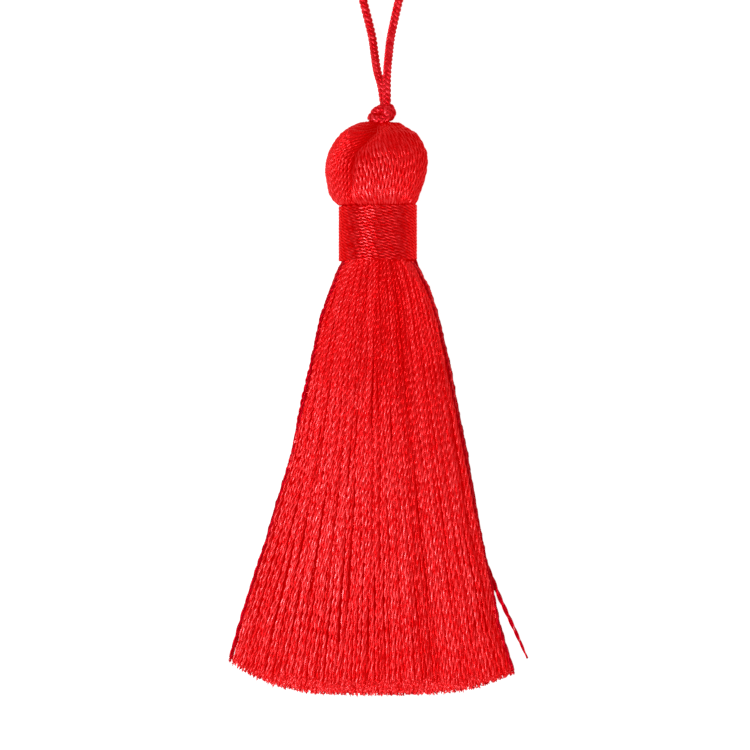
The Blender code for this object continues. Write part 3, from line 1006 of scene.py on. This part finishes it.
def make_head(material):
    """The threads that show on the head."""
    bundle = Bundle()
    fan_count = round(HEAD_THREADS * FAN_SPAN / 360)
    fan = np.linspace(*FAN_ANGLES, fan_count)
    lobe = np.linspace(*LOBE_ANGLES, HEAD_THREADS - fan_count)
    threads = [(angle, FAN_RUNS, fan_sunk, HEAD_FAN_PITCH) for angle in fan]
    threads += [(angle, LOBE_RUNS, lobe_sunk, HEAD_LOBE_PITCH) for angle in lobe]
    for number, (neck, runs, sunk, pitch) in enumerate(threads):
        rough, outward, deep = head_thread(neck, runs, sunk, DIVES[number % len(DIVES)])
        line = smooth_line(rough, HEAD_RING_STEP)
        at = distance_along(line) / distance_along(line)[-1]
        rough_at = distance_along(rough) / distance_along(rough)[-1]
        ups = np.stack([np.interp(at, rough_at, column) for column in outward.T], axis=1)
        deep = np.interp(at, rough_at, deep)
        pitch = pitch * uneven.uniform(*HEAD_PITCHES)
        # Painted light: less painted sheen on the lobe and the fan's right side, painted shade towards
        # the crown.
        paleness = np.interp(neck, *PALE_ROUND_HEAD) * np.interp(at, *PALE_UP_HEAD)
        shade = uneven.uniform(*HEAD_SHADES) * paleness
        add_thread(bundle, line, ups, pitch, shade, HEAD_THREAD_SIZE, HEAD_FLATNESS, deep)
    return bundle.piece("head_threads", material)


def make_winding(material):
    """The thread wound round the neck, turn beside turn."""
    steps = int(WINDING_TURNS * 2 * np.pi * BAND_RADIUS / RING_STEP)
    angles = np.linspace(0, 2 * np.pi * WINDING_TURNS, steps)
    outward = np.stack((np.cos(angles), np.zeros(steps), np.sin(angles)), axis=1)
    line = outward * (BAND_RADIUS - WINDING_RADIUS + WINDING_STANDS_OUT)
    line[:, 1] = np.linspace(BAND_TOP - WINDING_RADIUS, WINDING_FOOT + WINDING_RADIUS, steps)
    line[:, 2] += AXIS_HEIGHT
    bundle = Bundle()
    add_thread(bundle, line, outward, WINDING_PITCH, WINDING_SHADE, WINDING_SIZE, WINDING_FLATNESS)
    return bundle.piece("neck_winding", material)


add_camera()
# Each silk: a shade colour for painted shade, its own red, a pink for painted sheen, and a painted glow.
silk = silk_material(
    "silk_thread", srgb(105, 0, 0), srgb(160, 14, 18), srgb(222, 88, 92), roughness=0.25
)
# A darker copy of the silk, painted shade for edges and the lowest frays, with less painted glow.
shaded_silk = silk_material(
    "painted_shade_silk", srgb(80, 0, 8), srgb(130, 0, 16), srgb(160, 8, 24), roughness=0.4, glow=0.18
)
wound = silk_material(
    "wound_silk",
    srgb(60, 0, 0),
    srgb(165, 9, 13),
    srgb(225, 64, 68),
    roughness=0.25,
    glow=0.29,
    coloured=0.88,
)
braided = silk_material(
    "braided_silk", srgb(60, 0, 2), srgb(148, 10, 20), srgb(210, 60, 70), roughness=0.3, glow=0.26
)

loop, loop_line = make_loop(braided)
knot = make_knot(braided)
head = make_head(silk)
winding = make_winding(wound)
skirt = make_skirt(silk, shaded_silk) + [make_inside(inner_material())]
for piece in [loop, knot, head, winding] + skirt:
    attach(piece, "root")
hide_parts("hanging_loop")
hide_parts("cord_knot")
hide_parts("neck_band")
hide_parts("yarn_bundle")
for piece in skirt:
    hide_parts("yarn_bundle")
loop_length = float(distance_along(loop_line)[-1])
tuple(loop_line[0])
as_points(loop_line[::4])

add_floor()
light_scene()
